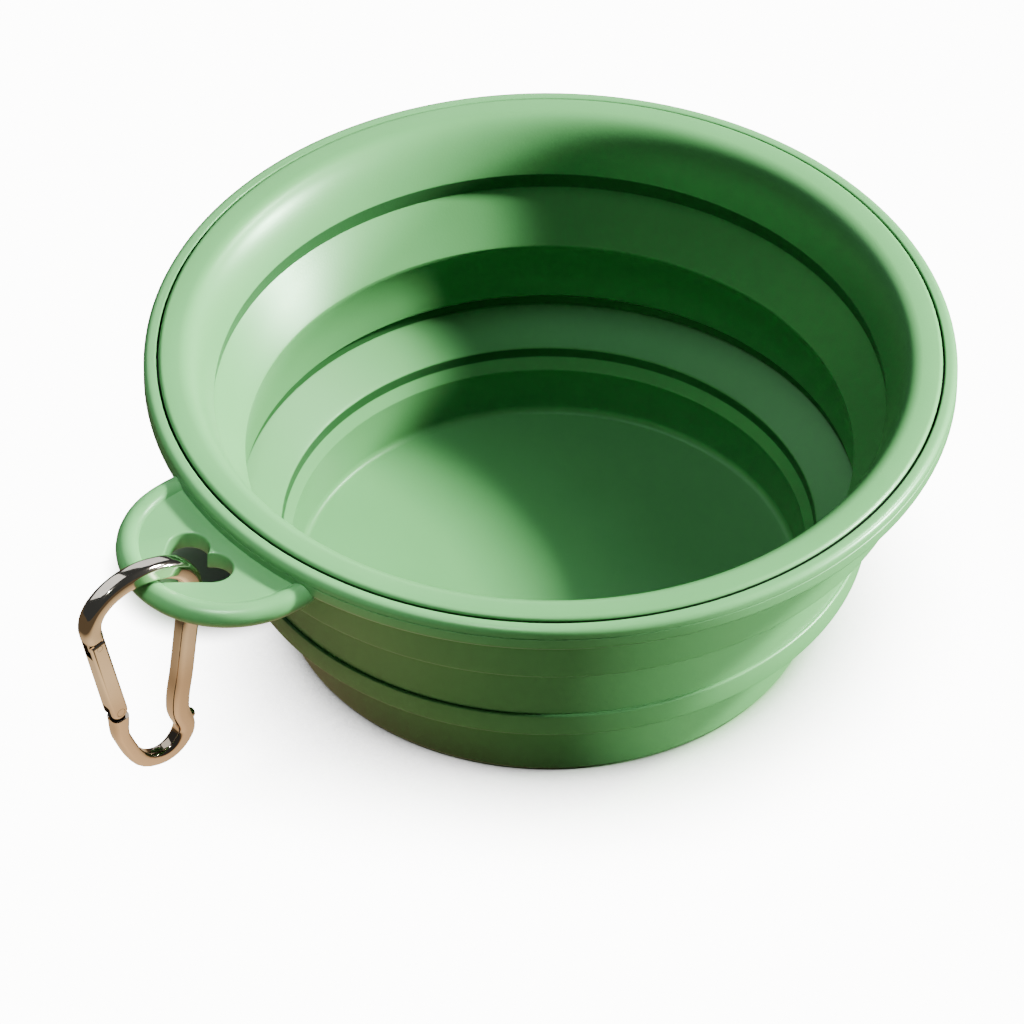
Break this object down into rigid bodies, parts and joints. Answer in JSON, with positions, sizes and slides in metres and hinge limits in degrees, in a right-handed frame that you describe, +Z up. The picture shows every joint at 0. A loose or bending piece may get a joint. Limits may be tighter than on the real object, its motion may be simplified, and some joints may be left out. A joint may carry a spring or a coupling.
{
  "type": "collapsible pet bowl",
  "caption": "Round soft travel bowl that folds flat into a hard rim ring, with a lug and heart-shaped hole that carries a sprung snap hook.",
  "frame": {"origin": "centre of the underside of the base cup", "axes": "+Z up along the bowl's axis, the lug and the snap hook towards -X, Y across the lug"},
  "size_m": [0.1593, 0.13, 0.0524],
  "materials": {
    "hard_green": "satin moulded hard plastic",
    "soft_green": "satin moulded soft elastomer",
    "polished_metal": "polished nickel plate",
    "steel": "plain drawn steel"
  },
  "bodies": {
    "rim": {"rim_ring": "hard_green", "upper_wall": "soft_green", "upper_fold": "soft_green"},
    "band": {"middle_band": "soft_green", "lower_fold": "soft_green"},
    "base": {"base_cup": "soft_green"},
    "hook": {"carabiner_body": "polished_metal", "gate_rivet": "steel"},
    "gate": {"carabiner_gate": "polished_metal", "latch_pin": "steel", "gate_spring": "steel", "spring_plunger": "steel"}
  },
  "joints": [
    {"name": "upper_fold_travel", "type": "slide", "parent": "rim", "child": "band", "axis": [0, 0, 1], "range_m": [0, 0.0168], "deforming": ["upper_fold"]},
    {"name": "lower_fold_travel", "type": "slide", "parent": "band", "child": "base", "axis": [0, 0, 1], "range_m": [0, 0.0142], "deforming": ["lower_fold"]},
    {"name": "hook_swing", "type": "hinge", "parent": "rim", "child": "hook", "pos_m": [-0.0814, 0, 0.04455], "axis": [0, 1, 0], "range_deg": [-25, 105]},
    {"name": "gate_swing", "type": "hinge", "parent": "hook", "child": "gate", "pos_m": [-0.08807, 0, 0.02505], "axis": [0, 1, 0], "range_deg": [0, 25], "stiffness_Nm_per_rad": 0.004, "springref_deg": -20.05}
  ]
}
